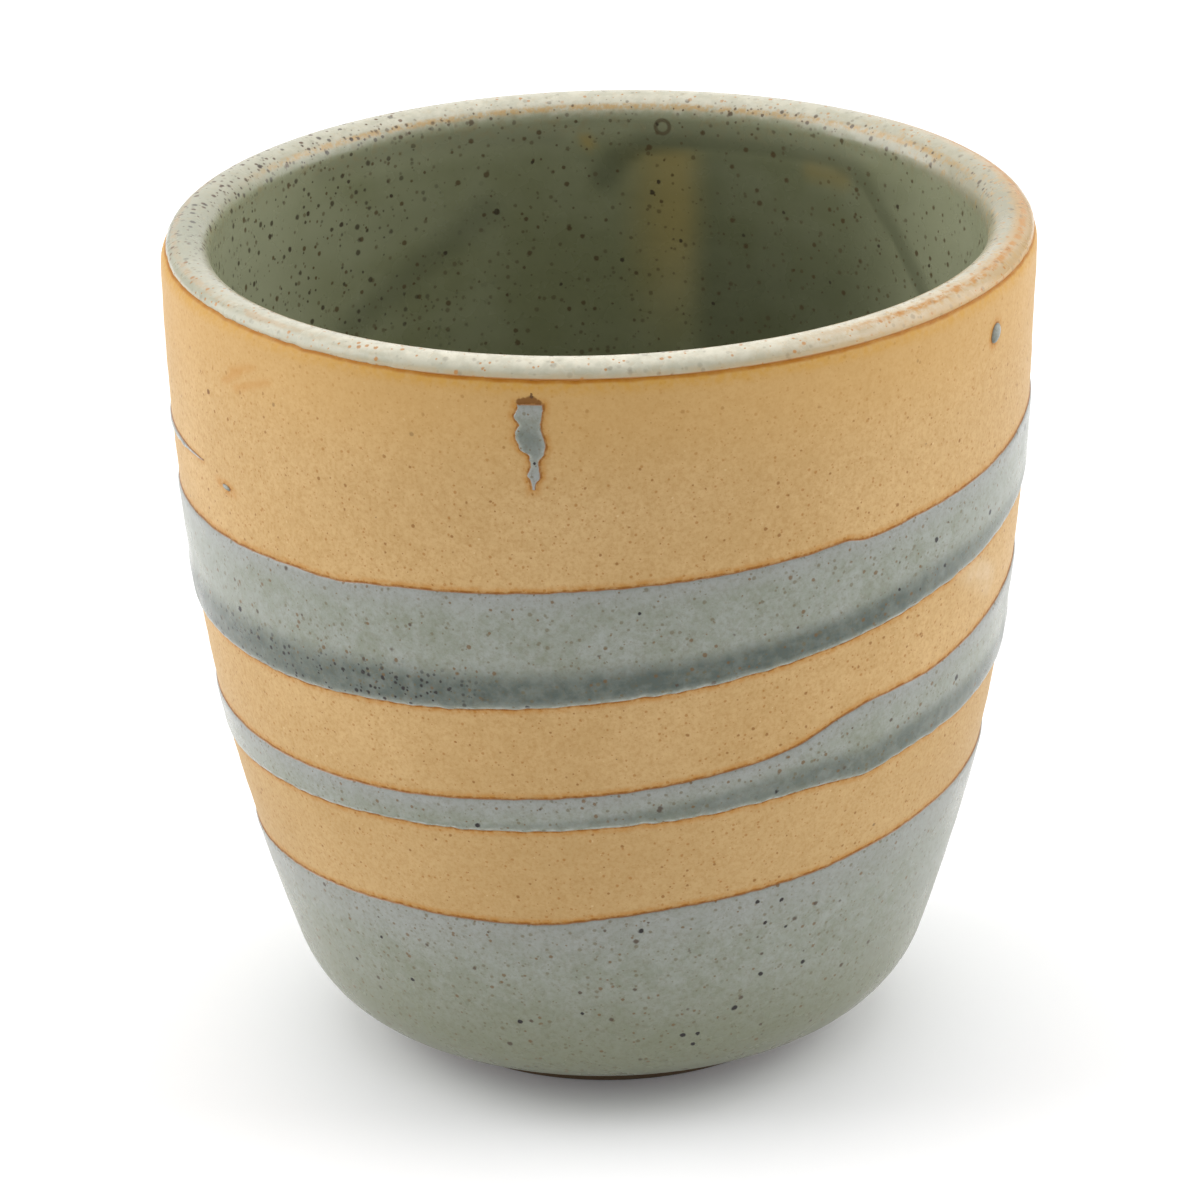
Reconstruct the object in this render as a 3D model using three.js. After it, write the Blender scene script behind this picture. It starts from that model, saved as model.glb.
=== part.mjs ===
// A hand-thrown, handleless stoneware coffee cup: a tan clay body, a glaze poured over its inside and lip,
// and an outer glaze that a brushed line of wax has parted into a climbing stripe, a base coat and stray drops.
// Millimetres, +Z up. The origin is on the table under the middle of the foot, and the front faces -Y.
import * as THREE from "three";
import { LoftGeometry } from "three/addons/geometries/LoftGeometry.js";

// Clay body
const HEIGHT = 86.2; // table to the top of the bare lip
const RIM_RADIUS = 44; // outside of the wall at the lip
const LIP_THICKNESS = 4.6;
const FLOOR_THICKNESS = 5.5;
const FOOT_RADIUS = 20.8; // outside of the foot ring
const FOOT_WIDTH = 4.5;
const FOOT_HEIGHT = 2.4;
const FOOT_CHAMFER = 0.5;
const BASE_TURN_RADIUS = 12.4; // round turn from the underside into the wall
const BASE_TURN_LEAN = 18.9; // degrees from upright at which the turn becomes the wall
const BELLY_REACH = 21.8; // how far the wall keeps the lean of the base turn
const RIM_REACH = 29.6; // how far the wall stays upright below the lip

// Glaze
const GLAZE_THICKNESS = 0.45;
const BOND_GAP = 0.15; // between the glaze and the clay it is fused to
const EDGE_SWELL = 0.35; // most thickness of a narrow coat, as a part of its width
const RIM_LINE = 32; // degrees above level on the round of the lip where the liner stops
const RIM_LINE_THICKNESS = 0.2; // of the liner where it stops
const FOOT_MARGIN = 1.6; // bare clay between the foot ring and the base coat

// The spiral's edges, as [degrees round the cup from its front, percent of HEIGHT]. It climbs to the right
// through two turns and a third, so that 360 is the front again, one turn higher.
const SPIRAL_LOWER = [
  [-165, 42], [-120, 40.5], [-75, 40.1], [-30, 41.4], [0, 42.9], [30, 44.8], [75, 47.9], [180, 53], [270, 56.3],
  [315, 56.9], [345, 58.3], [360, 59.6], [390, 62.8], [420, 66.8], [435, 69], [520, 75], [600, 76.8], [636, 77.9],
  [652.5, 79.3],
];
const SPIRAL_UPPER = [
  [-165, 42.5], [-120, 44.6], [-75, 45.6], [-45, 45.1], [-15, 46.4], [15, 49.1], [30, 52], [40, 54.4], [50, 55],
  [75, 58.6], [180, 65.6], [270, 70.8], [315, 71.7], [345, 73], [375, 74.5], [405, 76.1], [435, 78.3], [500, 79.7],
  [580, 79.2], [636, 78.8], [652.5, 79.7],
];
// The base coat's upper edge, once round, in the same terms.
const BASE_COAT_EDGE = [
  [-180, 33.9], [-130, 29.6], [-75, 28.1], [-35, 29], [-8, 29.5], [15, 31.7], [45, 34.1], [75, 36.4], [110, 37.5],
  [150, 36], [180, 33.9],
];

// The ragged patch under the lip, as [below its top, left edge, right edge] in millimetres.
const PATCH_ANGLE = -9;
const PATCH_BELOW_LIP = 3.4;
const PATCH_OUTLINE = [
  [0, -1.4, 1.2], [0.6, -1.2, 1.1], [1.4, -1.7, 1], [2.2, -1.1, 0.9], [3.2, -1.6, 1], [4.4, -1.3, 1.4],
  [5.2, -0.7, 1.1], [6.2, -0.2, 0.6], [7.6, -0.6, 0.8], [8.3, -0.3, 0.3], [9.2, -0.1, 0.2],
];
const BEAD_ANGLE = 62;
const BEAD_BELOW_LIP = 4.4; // lip to the top of the bead
const BEAD_DIAMETER = 2.2;
const FLECK_ANGLE = -58.5;
const FLECK_HEIGHT = 78.3; // percent of HEIGHT, at its top
const FLECK_LENGTH = 0.7;
const FLECK_WIDTH = 1.5;

// Fineness of the facets
const SEGMENTS = 48; // round the cup
const TURN_STEPS = 6;
const WALL_STEPS = 8;
const LIP_STEPS = 6;
const SPIRAL_ROWS = 5;
const BASE_COAT_ROWS = 12;
const ISLAND_ROWS = 4;
const DROP_STEPS = 7;

const { degToRad, lerp } = THREE.MathUtils;

// The outside of the wall as a section: the base turn, then one long curve that ends upright at the lip.
const lean = degToRad(BASE_TURN_LEAN);
const turnCentre = FOOT_HEIGHT + BASE_TURN_RADIUS;
const lipRadius = LIP_THICKNESS / 2;
const lipCentre = new THREE.Vector2(RIM_RADIUS - lipRadius, HEIGHT - lipRadius);
const wall = new THREE.Path();
wall.absarc(FOOT_RADIUS, turnCentre, BASE_TURN_RADIUS, -Math.PI / 2, -lean);
const turnEnd = wall.currentPoint.clone();
wall.bezierCurveTo(
  turnEnd.x + BELLY_REACH * Math.sin(lean),
  turnEnd.y + BELLY_REACH * Math.cos(lean),
  RIM_RADIUS,
  lipCentre.y - RIM_REACH,
  RIM_RADIUS,
  lipCentre.y,
);
const wallLength = wall.getLength();
const turnLength = BASE_TURN_RADIUS * (Math.PI / 2 - lean);

// A point of the section, a distance along the wall from the foot and standing proud of it.
function sectionPoint(along, proud) {
  const share = THREE.MathUtils.clamp(along / wallLength, 0, 1);
  const tangent = wall.getTangent(share);
  const outward = new THREE.Vector2(tangent.y, -tangent.x);
  return wall.getPoint(share).addScaledVector(outward, proud);
}

// The distance along the wall at which the section reaches a height.
function alongAtHeight(height) {
  let low = 0;
  let high = wallLength;
  while (high - low > 1e-4) {
    const middle = (low + high) / 2;
    if (sectionPoint(middle, 0).y < height) low = middle;
    else high = middle;
  }
  return low;
}

// The stops along the wall that the clay and its liner are turned through, from the foot to the lip.
function wallStops() {
  const stops = [];
  for (let step = 0; step < TURN_STEPS; step++) stops.push((turnLength * step) / TURN_STEPS);
  for (let step = 0; step <= WALL_STEPS; step++) {
    stops.push(lerp(turnLength, wallLength, step / WALL_STEPS));
  }
  return stops;
}

// The inside of the wall, which thickens from the lip to the floor, at a clearance into the cup.
function insidePoint(along, clearance) {
  const thickness = lerp(FLOOR_THICKNESS, LIP_THICKNESS, along / wallLength);
  return sectionPoint(along, -thickness - clearance);
}

// Points round the lip from one angle above level to another, at a distance outside the clay.
function lipArc(fromAngle, toAngle, proud) {
  const points = [];
  for (let step = 0; step <= LIP_STEPS; step++) {
    const angle = degToRad(lerp(fromAngle, toAngle, step / LIP_STEPS));
    const arm = lipRadius + proud;
    points.push(new THREE.Vector2(lipCentre.x + arm * Math.cos(angle), lipCentre.y + arm * Math.sin(angle)));
  }
  return points;
}

// Turns a section about the cup's axis.
function turned(points) {
  return new THREE.LatheGeometry(points, SEGMENTS).rotateX(Math.PI / 2);
}

function clayBody() {
  const ringInside = FOOT_RADIUS - FOOT_WIDTH;
  const stops = wallStops();
  const outside = stops.map((along) => sectionPoint(along, 0));
  const inside = stops.map((along) => insidePoint(along, 0)).reverse();
  const floor = FOOT_HEIGHT + FLOOR_THICKNESS;
  return turned([
    new THREE.Vector2(0, FOOT_HEIGHT),
    new THREE.Vector2(ringInside, FOOT_HEIGHT),
    new THREE.Vector2(ringInside, FOOT_CHAMFER),
    new THREE.Vector2(ringInside + FOOT_CHAMFER, 0),
    new THREE.Vector2(FOOT_RADIUS - FOOT_CHAMFER, 0),
    new THREE.Vector2(FOOT_RADIUS, FOOT_CHAMFER),
    ...outside.slice(0, -1),
    ...lipArc(0, 180, 0),
    ...inside.slice(1),
    new THREE.Vector2(0, floor),
  ]);
}

function linerGlaze() {
  const faceProud = BOND_GAP + GLAZE_THICKNESS;
  const stops = wallStops();
  const back = stops.map((along) => insidePoint(along, BOND_GAP));
  const face = stops.map((along) => insidePoint(along, faceProud)).reverse();
  const floor = FOOT_HEIGHT + FLOOR_THICKNESS;
  const [rimEdge] = lipArc(RIM_LINE, RIM_LINE, BOND_GAP + RIM_LINE_THICKNESS);
  return turned([
    new THREE.Vector2(0, floor + BOND_GAP),
    ...back.slice(0, -1),
    ...lipArc(180, RIM_LINE, BOND_GAP),
    rimEdge,
    ...lipArc(RIM_LINE, 180, faceProud).slice(1),
    ...face.slice(1),
    new THREE.Vector2(0, floor + faceProud),
  ]);
}

// A point on the outer wall: degrees round from the front, along the wall, and proud of it.
function onWall(degrees, along, proud) {
  const point = sectionPoint(along, proud);
  const angle = degToRad(degrees);
  return new THREE.Vector3(point.x * Math.sin(angle), -point.x * Math.cos(angle), point.y);
}

// A slice through a coat of glaze between two edges: along its back on the clay, then back along its face,
// which is thinnest at the edges. at(share, proud) gives the point that far from the first edge.
function coatSection(width, rows, at) {
  const thickness = Math.min(GLAZE_THICKNESS, width * EDGE_SWELL);
  const points = [];
  for (let row = 0; row <= rows; row++) points.push(at(row / rows, BOND_GAP));
  for (let row = rows - 0.5; row > 0; row--) {
    const share = row / rows;
    const swell = Math.sqrt(1 - (2 * share - 1) ** 4);
    points.push(at(share, BOND_GAP + thickness * swell));
  }
  return points;
}

// The distance along the wall of an edge drawn through [degrees, percent of HEIGHT] points.
function edgeAlong(edge) {
  const drawn = new THREE.SplineCurve(edge.map(([degrees, percent]) => new THREE.Vector2(degrees, percent)));
  const points = drawn.getPoints(edge.length * 12);
  return (degrees) => {
    const next = Math.max(1, points.findIndex((point) => point.x >= degrees - 1e-6));
    const share = (degrees - points[next - 1].x) / (points[next].x - points[next - 1].x);
    return alongAtHeight((lerp(points[next - 1].y, points[next].y, share) / 100) * HEIGHT);
  };
}

// A coat that runs round the wall between two edges, each a function of the angle.
function coatRound(fromDegrees, toDegrees, lower, upper, rows, ends) {
  const steps = Math.ceil(((toDegrees - fromDegrees) / 360) * SEGMENTS);
  const sections = [];
  for (let step = 0; step <= steps; step++) {
    const degrees = lerp(fromDegrees, toDegrees, step / steps);
    const low = lower(degrees);
    const high = upper(degrees);
    sections.push(
      coatSection(high - low, rows, (share, proud) => onWall(degrees, lerp(low, high, share), proud)),
    );
  }
  return new LoftGeometry(sections, { capStart: ends, capEnd: ends });
}

function spiralGlaze() {
  const [start] = SPIRAL_LOWER.at(0);
  const [end] = SPIRAL_LOWER.at(-1);
  return coatRound(start, end, edgeAlong(SPIRAL_LOWER), edgeAlong(SPIRAL_UPPER), SPIRAL_ROWS, true);
}

function baseGlaze() {
  return coatRound(-180, 180, () => FOOT_MARGIN, edgeAlong(BASE_COAT_EDGE), BASE_COAT_ROWS, false);
}

// A small island of glaze: its outline, as [below its top, left, right], laid on the wall below a height.
function island(degrees, topHeight, outline) {
  const top = alongAtHeight(topHeight);
  const roundRadius = sectionPoint(top, 0).x;
  const sections = outline.map(([below, left, right]) =>
    coatSection(right - left, ISLAND_ROWS, (share, proud) => {
      const aside = THREE.MathUtils.radToDeg(lerp(left, right, share) / roundRadius);
      return onWall(degrees + aside, top - below, proud);
    }),
  );
  return new LoftGeometry(sections, { capStart: true, capEnd: true });
}

// The outline of a round or oval drop.
function dropOutline(length, width) {
  const outline = [];
  for (let step = 0.5; step < DROP_STEPS; step++) {
    const angle = (Math.PI * step) / DROP_STEPS;
    const half = (width / 2) * Math.sin(angle);
    outline.push([(length / 2) * (1 - Math.cos(angle)), -half, half]);
  }
  return outline;
}

const clay = new THREE.MeshStandardMaterial({ color: 0xcfa870, roughness: 0.75, metalness: 0 });
const greenGlaze = new THREE.MeshStandardMaterial({ color: 0x9aa08f, roughness: 0.35, metalness: 0 });
const greyGlaze = new THREE.MeshStandardMaterial({ color: 0x939a98, roughness: 0.35, metalness: 0 });

const cup = new THREE.Group();

function addPiece(name, geometry, material) {
  const piece = new THREE.Mesh(geometry, material.clone());
  piece.name = name;
  cup.add(piece);
}

addPiece("clay_body", clayBody(), clay);
addPiece("liner_glaze", linerGlaze(), greenGlaze);
addPiece("spiral_glaze", spiralGlaze(), greyGlaze);
addPiece("base_glaze", baseGlaze(), greenGlaze);
addPiece("drip_patch", island(PATCH_ANGLE, HEIGHT - PATCH_BELOW_LIP, PATCH_OUTLINE), greyGlaze);
addPiece(
  "rim_bead",
  island(BEAD_ANGLE, HEIGHT - BEAD_BELOW_LIP, dropOutline(BEAD_DIAMETER, BEAD_DIAMETER)),
  greyGlaze,
);
addPiece(
  "stray_fleck",
  island(FLECK_ANGLE, (FLECK_HEIGHT / 100) * HEIGHT, dropOutline(FLECK_LENGTH, FLECK_WIDTH)),
  greyGlaze,
);

export default cup;
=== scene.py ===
import math

import bmesh
import bpy
import numpy as np
from mathutils import Matrix, Vector


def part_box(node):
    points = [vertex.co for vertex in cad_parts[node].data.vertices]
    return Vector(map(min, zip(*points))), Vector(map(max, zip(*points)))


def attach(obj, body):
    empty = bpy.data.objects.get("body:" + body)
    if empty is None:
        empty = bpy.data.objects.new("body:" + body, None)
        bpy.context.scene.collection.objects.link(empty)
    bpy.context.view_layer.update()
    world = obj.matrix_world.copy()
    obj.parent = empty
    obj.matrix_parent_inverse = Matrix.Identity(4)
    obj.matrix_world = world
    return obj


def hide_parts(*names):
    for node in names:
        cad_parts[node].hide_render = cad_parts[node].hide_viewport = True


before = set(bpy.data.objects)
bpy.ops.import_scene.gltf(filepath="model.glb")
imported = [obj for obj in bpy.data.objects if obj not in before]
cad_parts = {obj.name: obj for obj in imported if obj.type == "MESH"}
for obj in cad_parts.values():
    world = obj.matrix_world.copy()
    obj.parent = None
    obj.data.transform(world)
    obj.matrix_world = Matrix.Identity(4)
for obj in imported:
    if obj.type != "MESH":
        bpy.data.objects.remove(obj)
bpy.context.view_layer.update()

# Clay body
# The cup itself: toasted tan stoneware, thrown on the wheel in one piece and left bare where the wax lay.
# The foot ring was turned from the same clay once it had stiffened.
MM = 0.001
WELD = 1e-4
_, clay_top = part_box("clay_body")
RIM_RADIUS = clay_top.x / MM
LIP_HEIGHT = clay_top.z / MM
LIP_RADIUS = 2.3
LIP_THICKNESS = 2 * LIP_RADIUS
FLOOR_THICKNESS = 5.5
FOOT_RADIUS = 20.8
FOOT_WIDTH = 4.5
FOOT_HEIGHT = 2.4
FOOT_ROUND = 0.6
TURN_RADIUS = 12.4
TURN_LEAN = math.radians(18.9)
BELLY_REACH = 21.8
RIM_REACH = 29.6
LIP_CENTRE = (RIM_RADIUS - LIP_RADIUS, LIP_HEIGHT - LIP_RADIUS)
RIM_TILT = 0.38
RIM_OVAL = 0.15
RIM_FLARE = 0.26
FLARE_START = 0.87
FLARE_FULL = 0.98
RIM_WOBBLE = 0.05
BELLY_SWELL = 0.16
BELLY_HEIGHT = 33
BELLY_SPREAD = 11
RING_DEPTH = 0.012
FINE_RING_DEPTH = 0.008
CLAY_COLUMNS = 360
CLAY_WALL_ROWS = 168
CLAY_LIP_ROWS = 18
CLAY_INSIDE_ROWS = 26
RECESS_ROWS = 40
CORNER_ROWS = 6
TURNING_DEPTH = 0.06
RECESS_DOME = 0.3
UNTOASTED = 50.0
BROWN_CAP = [
    (-10.1, 83.0, 0.42), (-9.5, 83.12, 0.46), (-8.95, 83.2, 0.52), (-8.4, 83.2, 0.5), (-7.75, 82.95, 0.42),
    (-61.5, 76.7, 0.36),
]
IRON_PITS = [(-8.57, 83.55, 0.22), (-8.6, 83.8, 0.15)]


def wall_line(samples=700):
    """The outside of the wall as a section, foot to lip: how far along, radius, height and the way out."""
    turn = np.linspace(-math.pi / 2, -TURN_LEAN, samples)
    turn_radius = FOOT_RADIUS + TURN_RADIUS * np.cos(turn)
    turn_height = FOOT_HEIGHT + TURN_RADIUS * (1 + np.sin(turn))
    t = np.linspace(0, 1, samples)[1:]
    weights = np.array([(1 - t) ** 3, 3 * t * (1 - t) ** 2, 3 * t * t * (1 - t), t**3])
    belly_radius = turn_radius[-1] + BELLY_REACH * math.sin(TURN_LEAN)
    belly_height = turn_height[-1] + BELLY_REACH * math.cos(TURN_LEAN)
    radius = weights.T @ [turn_radius[-1], belly_radius, RIM_RADIUS, RIM_RADIUS]
    height = weights.T @ [turn_height[-1], belly_height, LIP_CENTRE[1] - RIM_REACH, LIP_CENTRE[1]]
    radius = np.concatenate([turn_radius, radius])
    height = np.concatenate([turn_height, height])
    along = np.concatenate([[0], np.cumsum(np.hypot(np.diff(radius), np.diff(height)))])
    rise = np.gradient(height, along)
    run = np.gradient(radius, along)
    return along, radius, height, rise, -run


WALL_ALONG, WALL_RADIUS, WALL_HEIGHT, WALL_OUT, WALL_UP = wall_line()
WALL_LENGTH = WALL_ALONG[-1]


def section_point(along, proud):
    """Radius and height of a point along the wall that stands proud of it."""
    radius = np.interp(along, WALL_ALONG, WALL_RADIUS) + proud * np.interp(along, WALL_ALONG, WALL_OUT)
    height = np.interp(along, WALL_ALONG, WALL_HEIGHT) + proud * np.interp(along, WALL_ALONG, WALL_UP)
    return radius, height


def inside_point(along, clearance):
    """The same on the inside of the wall, which thickens from the lip down to the floor."""
    thickness = FLOOR_THICKNESS + (LIP_THICKNESS - FLOOR_THICKNESS) * along / WALL_LENGTH
    return section_point(along, -thickness - clearance)


def lip_points(degrees, proud):
    """Points over the round of the lip, 0 degrees outside and 180 inside."""
    angles = np.radians(degrees)
    arm = LIP_RADIUS + proud
    return list(zip(LIP_CENTRE[0] + arm * np.cos(angles), LIP_CENTRE[1] + arm * np.sin(angles)))


def spun(section, columns):
    """Turns a section of (radius, height) points about the cup's axis into a closed skin."""
    bm = bmesh.new()
    row = [bm.verts.new((radius, 0, height)) for radius, height in section]
    edges = [bm.edges.new(pair) for pair in zip(row, row[1:])]
    bmesh.ops.spin(
        bm, geom=row + edges, cent=(0, 0, 0), axis=(0, 0, 1), angle=math.tau, steps=columns, use_merge=True
    )
    bmesh.ops.remove_doubles(bm, verts=bm.verts, dist=WELD)
    bmesh.ops.recalc_face_normals(bm, faces=bm.faces)
    return bm


def places_of(bm):
    return np.array([vert.co for vert in bm.verts])


def degrees_round(places):
    """Degrees round the cup from its front, rising to the right."""
    return np.degrees(np.arctan2(places[:, 0], -places[:, 1]))


def step_between(value, low, high):
    share = np.clip((value - low) / (high - low), 0, 1)
    return share * share * (3 - 2 * share)


def thrown_by_hand(places):
    """The wheel's unevenness: an oval, tilted rim that flares at the right, a full belly and faint rings."""
    radius = np.hypot(places[:, 0], places[:, 1])
    angle = np.arctan2(places[:, 0], -places[:, 1])
    up = np.clip(places[:, 2] / LIP_HEIGHT, 0, 1.1)
    oval = -RIM_OVAL * (1 + np.cos(2 * angle)) + RIM_WOBBLE * np.sin(3 * angle + 2.1)
    rings = RING_DEPTH * np.sin(places[:, 2] * 1.4 + angle)
    rings = rings + FINE_RING_DEPTH * np.sin(places[:, 2] * 2.9 - angle)
    flare = RIM_FLARE * step_between(up, FLARE_START, FLARE_FULL) * np.clip(np.sin(angle), 0, 1) ** 2
    belly = BELLY_SWELL * np.sin(angle) ** 2
    belly = belly * np.exp(-(((places[:, 2] - BELLY_HEIGHT) / BELLY_SPREAD) ** 2))
    swelled = 1 + (up**2 * oval + rings + flare + belly) / np.maximum(radius, 8)
    moved = places * np.stack([swelled, swelled, np.ones_like(up)], 1)
    moved[:, 2] += RIM_TILT * np.sin(angle) * up**3 * radius / RIM_RADIUS
    return moved


def make_piece(name, bm, places, material, marks):
    """Puts a mesh in its place on the cup and writes its marks as attributes for its material."""
    places = thrown_by_hand(places) * MM
    for vert, place in zip(bm.verts, places):
        vert.co = place
    mesh = bpy.data.meshes.new(name)
    bm.to_mesh(mesh)
    bm.free()
    mesh.polygons.foreach_set("use_smooth", [True] * len(mesh.polygons))
    for mark_name, values in marks.items():
        attribute = mesh.attributes.new(mark_name, "FLOAT", "POINT")
        attribute.data.foreach_set("value", np.asarray(values, dtype=np.float32))
    mesh.materials.append(material)
    piece = bpy.data.objects.new(name, mesh)
    bpy.context.scene.collection.objects.link(piece)
    return piece


def node(tree, kind, inputs=None, **settings):
    """A shader node with its settings made and its inputs set or linked."""
    made = tree.nodes.new("ShaderNode" + kind)
    for setting, value in settings.items():
        setattr(made, setting, value)
    for socket, value in (inputs or {}).items():
        if isinstance(value, bpy.types.NodeSocket):
            tree.links.new(value, made.inputs[socket])
        else:
            made.inputs[socket].default_value = value
    return made


def maths(tree, operation, first, second=0.0, third=0.0):
    return node(tree, "Math", {0: first, 1: second, 2: third}, operation=operation).outputs[0]


def times(tree, first, second):
    return maths(tree, "MULTIPLY", first, second)


def fade(tree, value, low, high, out_low=0.0, out_high=1.0):
    """A smooth change from one output to another while a value goes from low to high."""
    inputs = {"Value": value, 1: low, 2: high, 3: out_low, 4: out_high}
    return node(tree, "MapRange", inputs, interpolation_type="SMOOTHSTEP").outputs[0]


def tint(tree, factor, under, over):
    """One colour laid over another."""
    mixer = node(tree, "Mix", {0: factor}, data_type="RGBA")
    for socket, colour in ((6, under), (7, over)):
        if isinstance(colour, bpy.types.NodeSocket):
            tree.links.new(colour, mixer.inputs[socket])
        else:
            mixer.inputs[socket].default_value = (*colour, 1)
    return mixer.outputs[2]


def mark(tree, name):
    return node(tree, "Attribute", attribute_name=name).outputs["Fac"]


def cloud(tree, place, size, detail=3.0, roughness=0.5):
    """Soft noise whose patches are about size millimetres wide."""
    inputs = {"Vector": place, "Scale": 1 / (size * MM), "Detail": detail, "Roughness": roughness}
    return node(tree, "TexNoise", inputs).outputs["Fac"]


def roughened(tree, place, size, shift):
    """A place moved a little by noise, so that what is drawn there has a ragged outline."""
    wander = node(tree, "TexNoise", {"Vector": place, "Scale": 1 / (size * MM)}).outputs["Color"]
    centred = node(tree, "VectorMath", {0: wander, 1: (0.5, 0.5, 0.5)}, operation="SUBTRACT").outputs[0]
    moved = node(tree, "VectorMath", {0: centred, "Scale": shift * MM}, operation="SCALE").outputs[0]
    return node(tree, "VectorMath", {0: place, 1: moved}, operation="ADD").outputs[0]


def speck_group():
    """Iron specks of mixed sizes, scattered through the clay and the glaze alike."""
    tree = bpy.data.node_groups.new("iron_specks", "ShaderNodeTree")
    tree.interface.new_socket(name="Place", in_out="INPUT", socket_type="NodeSocketVector")
    tree.interface.new_socket(name="Spacing", in_out="INPUT", socket_type="NodeSocketFloat")
    tree.interface.new_socket(name="Radius", in_out="INPUT", socket_type="NodeSocketFloat")
    tree.interface.new_socket(name="Mask", in_out="OUTPUT", socket_type="NodeSocketFloat")
    given = tree.nodes.new("NodeGroupInput").outputs
    place = roughened(tree, given["Place"], 0.25, 0.16)
    scale = maths(tree, "DIVIDE", 1 / MM, given["Spacing"])
    cells = node(tree, "TexVoronoi", {"Vector": place, "Scale": scale})
    chance = node(tree, "SeparateColor", {0: cells.outputs["Color"]}).outputs[0]
    spread = maths(tree, "MULTIPLY_ADD", maths(tree, "POWER", chance, 2.5), 0.6, 0.4)
    radius = maths(tree, "DIVIDE", times(tree, spread, given["Radius"]), given["Spacing"])
    mask = fade(tree, cells.outputs["Distance"], radius, times(tree, radius, 0.5))
    tree.links.new(mask, tree.nodes.new("NodeGroupOutput").inputs["Mask"])
    return tree


IRON_SPECKS = speck_group()


def specks(tree, place, spacing, radius, strength):
    """How dark the iron specks are here. spacing and radius are in millimetres."""
    made = node(tree, "Group", node_tree=IRON_SPECKS)
    tree.links.new(place, made.inputs["Place"])
    made.inputs["Spacing"].default_value = spacing
    made.inputs["Radius"].default_value = radius
    return times(tree, made.outputs["Mask"], strength)


def new_finish(name, roughness):
    """A material with its Principled shader, and the piece's own place for its patterns."""
    material = bpy.data.materials.new(name)
    material.use_nodes = True
    tree = material.node_tree
    shader = tree.nodes["Principled BSDF"]
    shader.inputs["Roughness"].default_value = roughness
    return material, tree, shader, node(tree, "TexCoord").outputs["Object"]


def iron_spots(name, spots):
    """A shader group that marks single iron spots, given as places in metres and radii in millimetres."""
    tree = bpy.data.node_groups.new(name, "ShaderNodeTree")
    tree.interface.new_socket(name="Place", in_out="INPUT", socket_type="NodeSocketVector")
    tree.interface.new_socket(name="Mask", in_out="OUTPUT", socket_type="NodeSocketFloat")
    given = tree.nodes.new("NodeGroupInput").outputs
    place = roughened(tree, given["Place"], 0.5, 0.3)
    mask = 0.0
    for middle, radius in spots:
        apart = node(tree, "VectorMath", {0: place, 1: middle}, operation="DISTANCE").outputs["Value"]
        mask = maths(tree, "MAXIMUM", mask, fade(tree, apart, radius * MM, 0.55 * radius * MM))
    tree.links.new(mask, tree.nodes.new("NodeGroupOutput").inputs["Mask"])
    return tree


def spots_here(tree, place, group):
    made = node(tree, "Group", node_tree=group)
    tree.links.new(place, made.inputs["Place"])
    return made.outputs["Mask"]


def along_at(height):
    return np.interp(height, WALL_HEIGHT, WALL_ALONG)


def on_wall(degrees, along, proud):
    radius, height = section_point(along, proud)
    angle = np.radians(degrees)
    return np.stack([radius * np.sin(angle), -radius * np.cos(angle), height], 1)


def spots_on_wall(name, spots, proud):
    """The same group for spots given as degrees round the cup, height and radius."""
    degrees, height, radius = np.array(spots).T
    places = thrown_by_hand(on_wall(degrees, along_at(height), proud)) * MM
    return iron_spots(name, [(tuple(place), size) for place, size in zip(places, radius)])


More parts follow.
